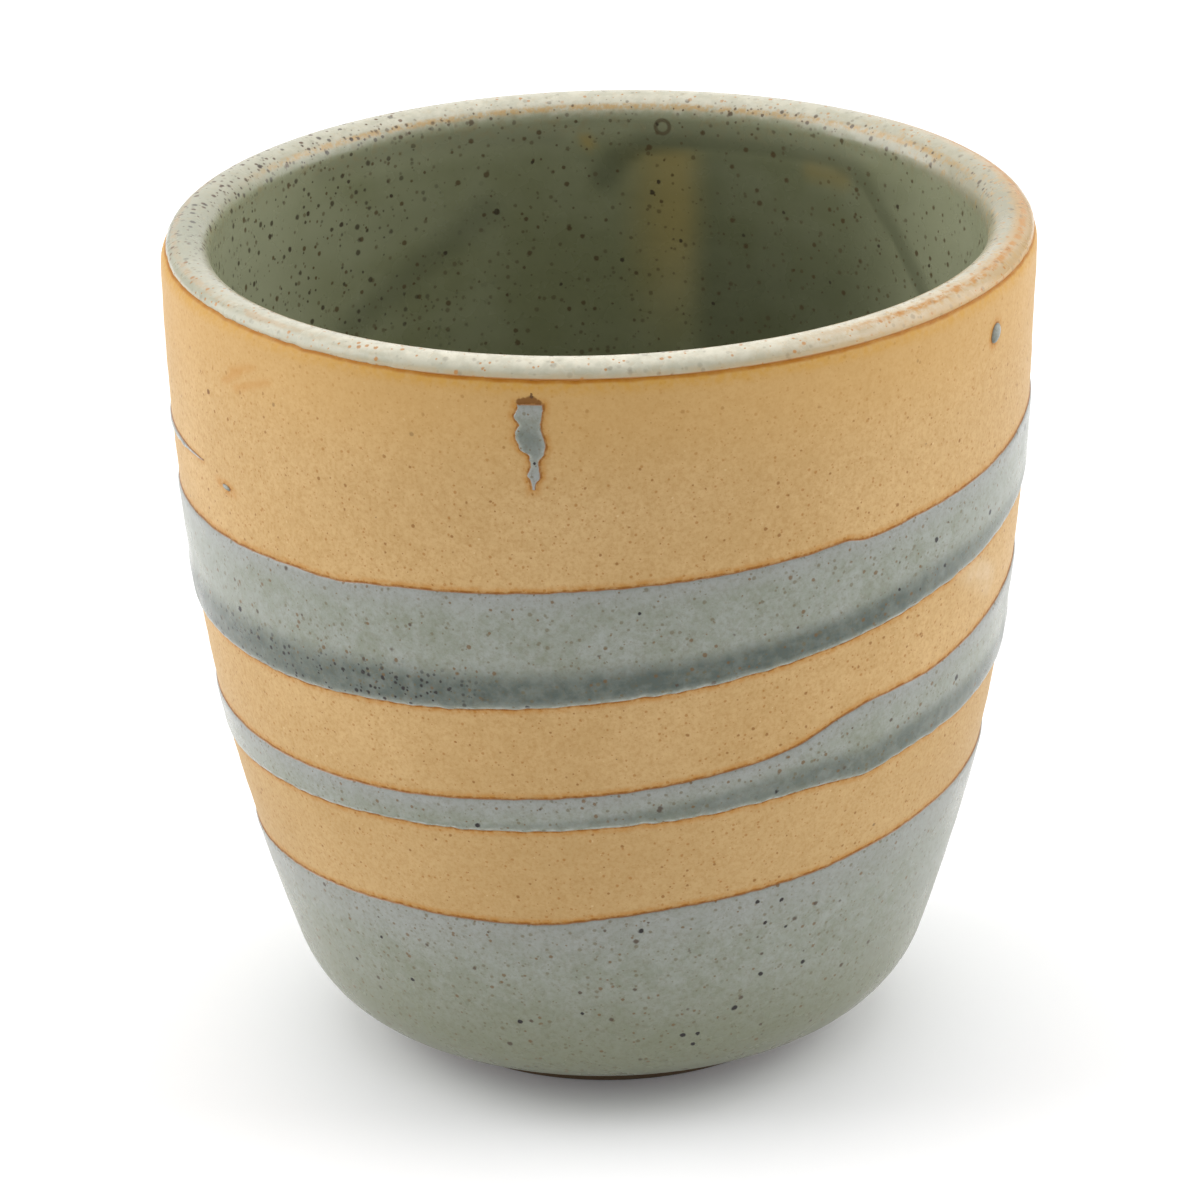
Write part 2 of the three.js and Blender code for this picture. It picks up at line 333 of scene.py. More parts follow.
def toasted_clay():
    material, tree, shader, place = new_finish("toasted_clay", 0.6)
    shader.inputs["Specular IOR Level"].default_value = 0.25
    light_tan = (0.578, 0.384, 0.172)
    deep_tan = (0.492, 0.312, 0.123)
    lower_shaded_tan = (0.4, 0.262, 0.105)
    grain_brown = (0.36, 0.18, 0.04)
    speck_orange = (0.33, 0.13, 0.015)
    speck_brown = (0.23, 0.088, 0.01)
    cap_brown = (0.17, 0.062, 0.006)
    iron_brown = (0.085, 0.036, 0.01)
    pale_grit = (0.7, 0.53, 0.3)
    sheen_white = (0.66, 0.55, 0.39)
    rim_gold = (0.53, 0.31, 0.095)
    glow_orange = (0.52, 0.27, 0.03)
    rim_amber = (0.37, 0.135, 0.004)
    toast_orange = (0.43, 0.17, 0.01)
    toast_brown = (0.23, 0.075, 0.004)
    foot_shadow_umber = (0.07, 0.048, 0.034)
    broad = fade(tree, cloud(tree, place, 15, 4), 0.35, 0.68)
    close = fade(tree, cloud(tree, place, 1.2, 5, 0.7), 0.34, 0.68)
    blend = maths(tree, "MULTIPLY_ADD", close, 0.55, times(tree, broad, 0.45))
    colour = tint(tree, blend, deep_tan, light_tan)
    height = node(tree, "SeparateXYZ", {0: place}).outputs[2]
    # Painted shade: the clay is made darker towards the bottom of the cup, where less light falls.
    colour = tint(tree, fade(tree, height, 52 * MM, 30 * MM, 0, 0.3), colour, lower_shaded_tan)
    grain = cloud(tree, place, 0.4, 4, 0.65)
    colour = tint(tree, fade(tree, grain, 0.4, 0.75, 0, 0.42), colour, grain_brown)
    colour = tint(tree, specks(tree, place, 1.7, 0.18, 0.4), colour, pale_grit)
    colour = tint(tree, specks(tree, place, 0.64, 0.22, 0.62), colour, speck_orange)
    colour = tint(tree, specks(tree, place, 1.3, 0.27, 0.75), colour, speck_brown)
    colour = tint(tree, specks(tree, place, 4.5, 0.3, 0.6), colour, iron_brown)
    # Painted sheen: pale, patchy white on the clay along a short streak at the right.
    patchy = fade(tree, cloud(tree, place, 2.2, 4, 0.5), 0.3, 0.7, 0.35, 1.0)
    colour = tint(tree, times(tree, mark(tree, "painted_sheen"), patchy), colour, sheen_white)
    colour = tint(tree, mark(tree, "smear"), colour, toast_orange)
    uneven = fade(tree, cloud(tree, place, 0.7, 3, 0.6), 0.35, 0.65, 0.35, 1.0)
    rim_distance = mark(tree, "below_rim")
    colour = tint(tree, fade(tree, rim_distance, 14.0, 0.5, 0, 0.55), colour, rim_gold)
    rim_glow = times(tree, fade(tree, rim_distance, 2.0, 0.3, 0, 0.7), uneven)
    colour = tint(tree, rim_glow, colour, glow_orange)
    rim_line = fade(tree, cloud(tree, place, 1.5, 3, 0.6), 0.3, 0.65, 0.65, 1.0)
    rim_line = times(tree, fade(tree, rim_distance, 0.46, 0.14), rim_line)
    colour = tint(tree, rim_line, colour, rim_amber)
    distance = mark(tree, "from_glaze")
    toasted = times(tree, fade(tree, distance, 0.9, 0.1, 0, 0.75), uneven)
    colour = tint(tree, toasted, colour, toast_orange)
    scorched = times(tree, fade(tree, distance, 0.26, 0.08, 0, 0.85), uneven)
    colour = tint(tree, scorched, colour, toast_brown)
    cap = spots_here(tree, place, spots_on_wall("brown_cap", BROWN_CAP, 0))
    colour = tint(tree, times(tree, cap, 0.9), colour, cap_brown)
    pits = spots_here(tree, place, spots_on_wall("iron_pits", IRON_PITS, 0))
    colour = tint(tree, times(tree, pits, 0.9), colour, iron_brown)
    # Painted shadow: the foot ring and the lowest clay are darkened almost to black, as in the shadow under
    # the cup.
    colour = tint(tree, fade(tree, height, 3.4 * MM, 2.3 * MM, 0, 0.85), colour, foot_shadow_umber)
    tree.links.new(colour, shader.inputs["Base Color"])
    tree.links.new(fade(tree, grain, 0.2, 0.8, 0.45, 0.62), shader.inputs["Roughness"])
    bump = node(tree, "Bump", {"Height": grain, "Strength": 0.3, "Distance": 0.05 * MM})
    tree.links.new(bump.outputs[0], shader.inputs["Normal"])
    return material


def clay_section():
    """The whole clay body as one section, from under the middle of the foot round to the floor inside."""
    ring_inside = FOOT_RADIUS - FOOT_WIDTH
    recess = np.linspace(0, ring_inside, RECESS_ROWS)
    turning_marks = TURNING_DEPTH * np.cos(recess * 3.6) * (recess > 1)
    points = list(zip(recess, FOOT_HEIGHT - RECESS_DOME * (1 - recess / ring_inside) + turning_marks))
    corner = np.radians(np.linspace(0, 90, CORNER_ROWS))
    inner_corner = ring_inside + FOOT_ROUND * (1 - np.cos(corner)), FOOT_ROUND * (1 - np.sin(corner))
    outer_corner = FOOT_RADIUS - FOOT_ROUND * (1 - np.sin(corner)), FOOT_ROUND * (1 - np.cos(corner))
    points += list(zip(*inner_corner)) + list(zip(*outer_corner))
    points += list(zip(*section_point(np.linspace(0, WALL_LENGTH, CLAY_WALL_ROWS), 0)))
    points += lip_points(np.linspace(10, 180, CLAY_LIP_ROWS), 0)
    points += list(zip(*inside_point(np.linspace(WALL_LENGTH, 0, CLAY_INSIDE_ROWS)[1:], 0)))
    points.append((0, FOOT_HEIGHT + FLOOR_THICKNESS))
    return points


def path_distance(across, up, path):
    """Millimetres from each point to a path of straight legs."""
    nearest = np.full(len(across), 1e3)
    for (x0, y0), (x1, y1) in zip(path, path[1:]):
        length = (x1 - x0) ** 2 + (y1 - y0) ** 2
        share = np.clip(((across - x0) * (x1 - x0) + (up - y0) * (y1 - y0)) / length, 0, 1)
        apart = np.hypot(across - x0 - share * (x1 - x0), up - y0 - share * (y1 - y0))
        nearest = np.minimum(nearest, apart)
    return nearest


clay_mesh = spun(clay_section(), CLAY_COLUMNS)
clay_places = places_of(clay_mesh)
clay_degrees = degrees_round(clay_places)
clay_radius = np.hypot(clay_places[:, 0], clay_places[:, 1])
clay_height = clay_places[:, 2]
lip_angle = np.arctan2(clay_height - LIP_CENTRE[1], clay_radius - LIP_CENTRE[0])
on_lip = clay_height > LIP_CENTRE[1]
clay_along = np.interp(clay_height, WALL_HEIGHT, WALL_ALONG)
clay_along = np.where(on_lip, WALL_LENGTH + LIP_RADIUS * lip_angle, clay_along)
outside = on_lip | (clay_radius > np.interp(clay_along, WALL_ALONG, WALL_RADIUS) - 0.5)
clay_across = np.radians(clay_degrees) * RIM_RADIUS
SMEARS = [
    [(-43.6, 79.0), (-40.9, 80.5)],
    [(-42.2, 80.5), (-38.6, 81.7)],
    [(-41.8, 78.7), (-36.3, 80.8)],
]
# A pale streak on the bare clay at the right, drawn along this path, is a painted sheen.
SHEEN_STROKE = [(43.5, 57.5), (50.5, 53.5)]
smear_distances = [path_distance(clay_across, clay_height, path) for path in SMEARS]
smear = sum(0.5 * step_between(distance, 0.65, 0.1) for distance in smear_distances)
sheen_distance = path_distance(clay_across, clay_height, SHEEN_STROKE)
# from_glaze and below_rim are in millimetres, and each glaze fills them in when it is laid.
clay_marks = {
    "from_glaze": np.full(len(clay_places), UNTOASTED),
    "below_rim": np.full(len(clay_places), UNTOASTED),
    "smear": np.where(outside, smear, 0),
    "painted_sheen": np.where(outside, 0.5 * step_between(sheen_distance, 2.6, 0.2), 0),
}
clay = make_piece("clay_wall", clay_mesh, clay_places, toasted_clay(), clay_marks)
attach(clay, "root")
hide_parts("clay_body")


def toast_clay(distance, edge="from_glaze"):
    """Browns the bare clay beside a glaze edge. distance is in millimetres outside the glaze."""
    heat = clay.data.attributes[edge].data
    before = np.empty(len(distance), dtype=np.float32)
    heat.foreach_get("value", before)
    after = np.where(outside, np.minimum(before, distance), before)
    heat.foreach_set("value", after.astype(np.float32))


# Liner glaze
# The coat that was poured into the cup, swilled round and tipped out. It wraps the lip, where it runs thin
# and breaks to cream and orange, with a painted sheen on the cream, and it is thick and olive where the pour
# overlaps on the inner wall. Painted shade darkens it inside the pour arch and along two shadow paths, and
# painted light makes the side walls inside paler than the back.
LINER_THICKNESS = 0.5
CREST_THINNING = 0.15
CREST_REACH = 9.0
LINER_SUNK = 0.06
RIM_LINE = 32.0
LINER_COLUMNS = 360
LINER_FLOOR_ROWS = 34
LINER_WALL_ROWS = 120
LINER_LIP_ROWS = 34
LINER_BACK_ROWS = 26
LIP_BACK_ROWS = 14
FLOOR_RIPPLE = 0.22
EDGE_WAVES = 26
WORN_DEGREES = 80
LIP_PEPPER_DEGREES = 245
POUR_ARCH = [
    (178.5, 78.2), (176.5, 80.0), (172, 81.7), (165, 82.1), (152, 82.0), (140, 81.9), (136.5, 81.3),
    (133.3, 80.3), (128.3, 77.2), (123.5, 74.2), (118.5, 71.0), (112, 67.0),
]
POUR_SHADOW = [(232, 62), (225, 65), (210, 70), (198, 75)]
UPPER_SHADOW = [(228, 83.2), (205, 83.4), (186, 82.6)]
RUST_SPOTS = [([(181.5, 82.3), (181.0, 81.8)], 1.3, 0.8), ([(144, 80.4), (138, 80.2)], 2.0, 0.55)]
BUBBLE = (169.3, 83.6)
BUBBLE_RADIUS = 0.75
LINER_IRON = [
    (196, 74.8, 0.44), (205, 71.0, 0.3), (171, 76.2, 0.36), (170, 77.4, 0.3), (166.5, 70.8, 0.28),
    (176, 68.5, 0.3), (186, 66.0, 0.26), (224, 77.0, 0.34), (231, 79.5, 0.36), (236, 76.5, 0.34),
    (241, 79.0, 0.38), (247, 75.0, 0.34), (222, 81.5, 0.3), (214, 78.6, 0.26), (252, 78.5, 0.36),
    (256, 74.5, 0.34), (130, 74.0, 0.26), (126, 79.0, 0.3), (117, 74.2, 0.28), (111, 71.0, 0.3),
    (156, 72.0, 0.24), (149, 75.2, 0.24), (161, 64.0, 0.26), (140, 68.4, 0.24), (190, 80.0, 0.24),
    (170.1, 84.2, 0.3),
]


def ragged(degrees, seed, depth):
    """A hand-made edge's small wander, the same each turn of the cup."""
    draws = np.random.default_rng(seed)
    wander = np.zeros_like(degrees)
    for _ in range(EDGE_WAVES):
        waves = draws.integers(5, 150)
        wander += np.sin(np.radians(degrees) * waves + draws.uniform(0, math.tau)) / waves**0.35
    return depth * wander / 2.2


def rounded(distance, radius):
    """How far a coat has risen at a distance from its rounded edge."""
    short = 1 - np.clip(distance / radius, 0, 1)
    return np.sqrt(1 - short * short)


def liner_section():
    """The coat's face from the middle of the floor up over the lip, and its back down again in the clay."""
    floor_radius = np.linspace(0, FOOT_RADIUS, LINER_FLOOR_ROWS)
    ripple = FLOOR_RIPPLE * np.cos(floor_radius * 1.15) * np.exp(-floor_radius / 9)
    face = list(zip(floor_radius, FOOT_HEIGHT + FLOOR_THICKNESS + LINER_THICKNESS + ripple))
    wall_along = np.linspace(0, WALL_LENGTH, LINER_WALL_ROWS)[1:]
    below_crest = np.clip(1 - (WALL_LENGTH - wall_along) / CREST_REACH, 0, 1)
    face += list(zip(*inside_point(wall_along, LINER_THICKNESS - CREST_THINNING * below_crest**3)))
    over_lip = RIM_LINE + (180 - RIM_LINE) * np.linspace(1, 0, LINER_LIP_ROWS)[1:] ** 1.5
    rise = rounded(np.radians(over_lip - RIM_LINE) * LIP_RADIUS, 1.9)
    thinned = CREST_THINNING * np.clip(over_lip / 90 - 1, 0, 1) ** 2
    face += lip_points(over_lip, (LINER_THICKNESS + LINER_SUNK) * rise - LINER_SUNK - thinned)
    back = lip_points(np.linspace(RIM_LINE, 180, LIP_BACK_ROWS)[1:], -LINER_SUNK)
    back += list(zip(*inside_point(np.linspace(WALL_LENGTH, 0, LINER_BACK_ROWS)[1:], -LINER_SUNK)))
    back.append((0, FOOT_HEIGHT + FLOOR_THICKNESS - LINER_SUNK))
    return face + back


def in_bowl(degrees, height):
    """Places on the coat's inner face, in metres."""
    out, up = inside_point(along_at(height), LINER_THICKNESS)
    angle = np.radians(degrees)
    return thrown_by_hand(np.stack([out * np.sin(angle), -out * np.cos(angle), up], 1)) * MM


def inside_spots():
    degrees, height, radius = np.array(LINER_IRON).T
    places = in_bowl(degrees, height)
    return iron_spots("liner_spots", [(tuple(place), size) for place, size in zip(places, radius)])


def liner_finish():
    material, tree, shader, place = new_finish("liner_glaze", 0.25)
    olive = (0.196, 0.206, 0.112)
    grey_olive = (0.238, 0.25, 0.152)
    lit_pale_green = (0.31, 0.322, 0.212)
    lip_green = (0.3, 0.303, 0.218)
    lip_tan = (0.45, 0.24, 0.045)
    lip_cream_and_sheen = (0.7, 0.66, 0.535)
    mottle_brown = (0.28, 0.21, 0.095)
    break_tan = (0.5, 0.31, 0.11)
    streak_orange = (0.47, 0.21, 0.03)
    break_orange = (0.44, 0.18, 0.025)
    border_brown = (0.36, 0.13, 0.006)
    iron_brown = (0.075, 0.04, 0.014)
    iron_black = (0.04, 0.026, 0.016)
    thick_and_shaded_green = (0.058, 0.066, 0.034)
    gold = (0.35, 0.265, 0.09)
    over = mark(tree, "over")
    colour = tint(tree, fade(tree, cloud(tree, place, 9, 4), 0.35, 0.68), olive, grey_olive)
    # Painted light: the side walls inside are paler than the back. The coat is also paler near the rim.
    colour = tint(tree, mark(tree, "pale_rim_and_lit_sides"), colour, lit_pale_green)
    colour = tint(tree, mark(tree, "gold"), colour, gold)
    # Dark olive where the pour overlaps, and painted shade inside the arch and along the shadow paths.
    colour = tint(tree, mark(tree, "thick_and_shade"), colour, thick_and_shaded_green)
    wander = cloud(tree, place, 1.8, 4, 0.6)
    swayed = maths(tree, "MULTIPLY_ADD", wander, 0.9, over)
    worn = times(tree, mark(tree, "worn"), fade(tree, swayed, 0.9, 0.0, 0.1, 0.75))
    lip_colour = tint(tree, worn, lip_green, lip_tan)
    # Cream where the glaze breaks on the lip, partly its own colour and partly a painted sheen on the inner
    # side.
    cream_and_sheen = fade(tree, cloud(tree, place, 1.6, 5, 0.65), 0.35, 0.65, 0.65, 1.0)
    cream_and_sheen = times(tree, cream_and_sheen, fade(tree, over, -2.6, -0.5, 0.4, 1.0))
    lip_colour = tint(tree, times(tree, mark(tree, "cream_and_sheen"), cream_and_sheen), lip_colour, lip_cream_and_sheen)
    thin_brown = fade(tree, cloud(tree, place, 1.0, 5, 0.65), 0.45, 0.7, 0, 0.5)
    colour = tint(tree, times(tree, thin_brown, fade(tree, over, 7.0, 2.5)), colour, mottle_brown)
    patches = fade(tree, cloud(tree, place, 0.9, 5, 0.7), 0.5, 0.68, 0, 0.7)
    patches = times(tree, patches, fade(tree, mark(tree, "worn"), 0.0, 1.0, 0.2, 1.0))
    lip_colour = tint(tree, patches, lip_colour, break_tan)
    far_swayed = maths(tree, "MULTIPLY_ADD", cloud(tree, place, 1.1, 5, 0.65), 1.8, over)
    far_swayed = maths(tree, "MULTIPLY_ADD", mark(tree, "worn"), -1.6, far_swayed)
    colour = tint(tree, fade(tree, far_swayed, 4.5, 2.8), colour, lip_colour)
    breaks = fade(tree, cloud(tree, place, 0.7, 5, 0.7), 0.36, 0.6)
    from_crest = maths(tree, "ABSOLUTE", maths(tree, "SUBTRACT", over, mark(tree, "crest_at")))
    inner_edge = times(tree, fade(tree, from_crest, 0.6, 0.1), mark(tree, "crest"))
    colour = tint(tree, times(tree, inner_edge, breaks), colour, break_tan)
    from_streak = maths(tree, "ABSOLUTE", maths(tree, "ADD", swayed, 0.5))
    streak = times(tree, fade(tree, from_streak, 0.55, 0.15), mark(tree, "streak"))
    ragged_streak = fade(tree, cloud(tree, place, 1.4, 5, 0.7), 0.36, 0.58)
    colour = tint(tree, times(tree, streak, ragged_streak), colour, streak_orange)
    outer_edge = fade(tree, over, -1.9, -2.7, 0, 0.45)
    outer_edge = times(tree, outer_edge, fade(tree, wander, 0.2, 0.6, 0.3, 1.0))
    colour = tint(tree, outer_edge, colour, break_tan)
    colour = tint(tree, fade(tree, over, -2.64, -2.8, 0, 0.95), colour, border_brown)
    flecks = times(tree, specks(tree, place, 0.85, 0.32, 0.8), fade(tree, over, 3.0, 0.5))
    colour = tint(tree, flecks, colour, break_orange)
    few_specks = fade(tree, mark(tree, "cream_and_sheen"), 0.0, 0.5, 0.25, 0.65)
    few_specks = times(tree, fade(tree, over, 2.0, 1.2), few_specks)
    dark_share = maths(tree, "SUBTRACT", 1.0, few_specks)
    small_specks = times(tree, specks(tree, place, 0.95, 0.36, 0.55), dark_share)
    colour = tint(tree, small_specks, colour, iron_brown)
    large_specks = times(tree, specks(tree, place, 1.45, 0.44, 0.8), dark_share)
    colour = tint(tree, large_specks, colour, iron_brown)
    crest_specks = times(tree, specks(tree, place, 0.9, 0.36, 0.85), fade(tree, from_crest, 1.3, 0.4))
    colour = tint(tree, crest_specks, colour, iron_brown)
    black_specks = times(tree, specks(tree, place, 1.2, 0.44, 0.8), mark(tree, "pepper"))
    colour = tint(tree, black_specks, colour, iron_black)
    lip_pepper = times(tree, specks(tree, place, 0.85, 0.38, 0.85), mark(tree, "pepper"))
    colour = tint(tree, times(tree, lip_pepper, fade(tree, over, 5.0, 2.5)), colour, iron_black)
    bubble = tuple(in_bowl(*np.array([BUBBLE]).T)[0])
    apart = node(tree, "VectorMath", {0: place, 1: bubble}, operation="DISTANCE").outputs["Value"]
    from_ring = maths(tree, "ABSOLUTE", maths(tree, "SUBTRACT", apart, BUBBLE_RADIUS * MM))
    colour = tint(tree, fade(tree, from_ring, 0.3 * MM, 0.1 * MM, 0, 0.65), colour, iron_brown)
    colour = tint(tree, times(tree, spots_here(tree, place, inside_spots()), 0.9), colour, iron_black)
    tree.links.new(colour, shader.inputs["Base Color"])
    smooth = fade(tree, cloud(tree, place, 4), 0.3, 0.7, 0.2, 0.34)
    dull_border = fade(tree, over, -2.3, -2.65, 0, 0.35)
    tree.links.new(maths(tree, "ADD", smooth, dull_border), shader.inputs["Roughness"])
    bump = node(tree, "Bump", {"Height": cloud(tree, place, 2.5), "Strength": 0.15, "Distance": 0.08 * MM})
    tree.links.new(bump.outputs[0], shader.inputs["Normal"])
    return material


def border_drop(degrees):
    """How far the coat's outer edge runs below its mean line. It stops higher at the left."""
    higher = 0.4 * step_between(np.abs(degrees - 292), 50, 15)
    return ragged(degrees, seed=3, depth=0.09) - higher


liner_mesh = spun(liner_section(), LINER_COLUMNS)
liner_places = places_of(liner_mesh)
liner_degrees = degrees_round(liner_places) % 360
liner_radius = np.hypot(liner_places[:, 0], liner_places[:, 1])
liner_height = liner_places[:, 2].copy()
lip_arm = np.hypot(liner_radius - LIP_CENTRE[0], liner_height - LIP_CENTRE[1])
lip_angle = np.arctan2(liner_height - LIP_CENTRE[1], liner_radius - LIP_CENTRE[0])
on_lip = liner_height > LIP_CENTRE[1]
near_border = on_lip * step_between(lip_angle, math.radians(75), math.radians(RIM_LINE))
lip_angle = lip_angle - near_border * border_drop(liner_degrees) / LIP_RADIUS
moved_radius = np.where(on_lip, LIP_CENTRE[0] + lip_arm * np.cos(lip_angle), liner_radius)
liner_places[:, :2] *= (moved_radius / np.maximum(liner_radius, 1e-6))[:, None]
liner_places[:, 2] = np.where(on_lip, LIP_CENTRE[1] + lip_arm * np.sin(lip_angle), liner_height)
lip_face = LIP_RADIUS + LINER_THICKNESS
over_wall = math.pi / 2 * lip_face + LIP_CENTRE[1] - liner_height
over = np.where(on_lip, (lip_angle - math.pi / 2) * lip_face, over_wall)
inner_turn = math.radians(RIM_RADIUS - LIP_THICKNESS)
inner_across = liner_degrees * inner_turn


def from_inner_path(path):
    """Millimetres from a path on the inner wall, whose points are degrees round the cup and heights."""
    across_and_up = [(degrees * inner_turn, height) for degrees, height in path]
    return path_distance(inner_across, liner_height, across_and_up)


under_arch = step_between(liner_degrees, 160.5, 167) * step_between(liner_degrees, 178, 168)
streak = under_arch * step_between(liner_height, 56, 74) * step_between(liner_height, 82.0, 80.4)
# Painted shade: inside the pour arch, right of the gold streak, the wall is darkened as if in shadow, more so
# lower down.
shaded_in_arch = step_between(liner_degrees, 167, 161) * step_between(liner_degrees, 112, 140)
shaded_in_arch = shaded_in_arch * step_between(liner_height, 82, 80.5) * step_between(liner_height, 28, 55)
rust = sum(share * step_between(from_inner_path(path), reach, 0.0) for path, reach, share in RUST_SPOTS)
arch = from_inner_path(POUR_ARCH)
arch_degrees, arch_height = np.array(POUR_ARCH[::-1]).T
below_arch = liner_height < np.interp(liner_degrees, arch_degrees, arch_height)
# This mark joins thick glaze along the pour arch and at its left end with painted shade inside the arch and
# along the two shadow paths, and darkens a band deeper in the bowl.
thick_and_shade = 0.5 * np.where(below_arch, step_between(arch, 1.4, 0.6), step_between(arch, 2.8, 0.0))
thick_and_shade = np.maximum(thick_and_shade, 0.5 * step_between(from_inner_path(POUR_ARCH[:2]), 2.6, 0.4))
thick_and_shade = np.maximum(thick_and_shade, shaded_in_arch * (0.35 + 0.2 * step_between(liner_height, 78, 66)))
thick_and_shade = np.maximum(thick_and_shade, 0.36 * step_between(from_inner_path(POUR_SHADOW), 3.4, 0.0))
thick_and_shade = np.maximum(thick_and_shade, 0.22 * step_between(from_inner_path(UPPER_SHADOW), 1.6, 0.0))
thick_and_shade = np.maximum(thick_and_shade, 0.12 * step_between(liner_height, 67, 55) * step_between(liner_height, 25, 45))
liner_turn = np.cos(np.radians(liner_degrees))
to_front = np.minimum(liner_degrees, 360 - liner_degrees)
# Painted light: the inner walls at the sides are made paler than the back, where the side softboxes light
# them.
painted_lit_sides = 0.9 * step_between(np.abs(liner_degrees - 180), 32, 72)
pale_rim = 0.75 * step_between(liner_height, 80.0, 84.3)
crest_back = step_between(np.abs(liner_degrees - 175), 75, 55)
crest_front = step_between(to_front, 75, 45)
streak_right = 0.9 * step_between(np.abs(liner_degrees - 82), 58, 35)
streak_left = 0.3 * step_between(np.abs(liner_degrees - 280), 50, 30)
# over and crest_at are millimetres inwards from the top of the lip. The other marks are shares of 1.
liner_marks = {
    "over": over,
    "gold": np.clip(0.65 * streak + rust, 0, 1),
    "thick_and_shade": thick_and_shade,
    "pale_rim_and_lit_sides": np.maximum(painted_lit_sides, pale_rim),
    "worn": step_between(np.abs(liner_degrees - WORN_DEGREES), 72, 30),
    # The cream on the lip is partly its own colour and partly a painted sheen, strongest at the front and
    # back.
    "cream_and_sheen": np.where(liner_turn > 0, 0.95, 0.72) * np.abs(liner_turn) ** 0.9,
    "crest": 0.8 * np.maximum(crest_back, crest_front),
    "crest_at": 1.75 - 0.7 * liner_turn,
    "streak": np.maximum(streak_right, streak_left),
    "pepper": step_between(np.abs(liner_degrees - LIP_PEPPER_DEGREES), 55, 25),
}
liner = make_piece("liner_coat", liner_mesh, liner_places, liner_finish(), liner_marks)
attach(liner, "root")
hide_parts("liner_glaze")
border_along = WALL_LENGTH + LIP_RADIUS * math.radians(RIM_LINE)
toast_clay(border_along - clay_along - border_drop(clay_degrees % 360), "below_rim")

# Base coat
# The cup was dipped foot first: this coat covers the lower wall from a sloping brushed line of wax, runs
# round the base turn and stops short of the wiped foot ring.
COAT_SUNK = 0.05
COAT_ROOT = 4 * COAT_SUNK
COAT_FILM = 0.24
FOOT_MARGIN = 1.6
BASE_COLUMNS = 600
BASE_ROWS = 46
BASE_EDGE = [
    (-180, 29.2), (-130, 25.5), (-75, 24.2), (-60, 24.5), (-35, 25.0), (-15, 25.1), (-8, 25.4), (0, 26.2),
    (15, 27.3), (30, 28.2), (45, 29.4), (60, 30.5), (75, 31.4), (110, 32.3), (150, 31.0), (180, 29.2),
]
OUTER_IRON = [
    (4.5, 24.6, 0.36), (22.8, 26.4, 0.32), (27, 26, 0.32), (24.6, 23.6, 0.28), (28.5, 22.5, 0.26),
    (33.3, 17.2, 0.34), (25.2, 17.1, 0.34), (21.2, 13.3, 0.4), (12.2, 10.7, 0.36), (14.9, 10.7, 0.3),
    (14.3, 9.3, 0.32), (-16.4, 12.6, 0.36), (-5.3, 14.2, 0.26), (-36, 15.5, 0.3), (-49, 15.5, 0.28),
    (-40.5, 20, 0.24), (-19, 36.8, 0.34), (24, 39.4, 0.32), (58, 44.7, 0.4), (-58.5, 54, 0.38),
    (49, 62.1, 0.38), (62.7, 61.5, 0.42), (4.4, 61, 0.24), (42, 58.4, 0.26), (51, 58.9, 0.32),
    (-31, 49.9, 0.3), (-10.5, 50.9, 0.3), (46, 57.6, 0.28), (140, 22, 0.34), (196, 18, 0.36), (233, 20, 0.32),
    (-8.41, 76.85, 0.22), (118, 47, 0.34), (205, 54, 0.36), (250, 57, 0.3), (160, 12, 0.32), (272, 14, 0.3),
    (77, 66.6, 0.4),
]


def curve_through(points, at):
    """A smooth curve through (x, y) points, read at the given places."""
    x, y = np.array(points, dtype=float).T
    slope = np.gradient(y, x)
    first = np.clip(np.searchsorted(x, at) - 1, 0, len(x) - 2)
    step = x[first + 1] - x[first]
    t = np.clip((at - x[first]) / step, 0, 1)
    rest = 1 - t
    start = rest * rest * (1 + 2 * t) * y[first] + rest * rest * t * step * slope[first]
    end = t * t * (3 - 2 * t) * y[first + 1] - t * t * rest * step * slope[first + 1]
    return start + end


def slab(columns, rows):
    """A closed flat slab of glaze to be laid on the wall, with shares along and across it, and its back."""
    bm = bmesh.new()
    bmesh.ops.create_grid(bm, x_segments=columns, y_segments=rows, size=1)
    bmesh.ops.solidify(bm, geom=bm.faces[:], thickness=1)
    bmesh.ops.recalc_face_normals(bm, faces=bm.faces)
    flat = places_of(bm)
    back = flat[:, 2] < flat[:, 2].mean()
    return bm, (flat[:, 0] + 1) / 2, (flat[:, 1] + 1) / 2, back


def eased(share):
    """Rows crowded towards both edges of a coat, where it rounds over."""
    return share - 0.92 * np.sin(math.tau * share) / math.tau


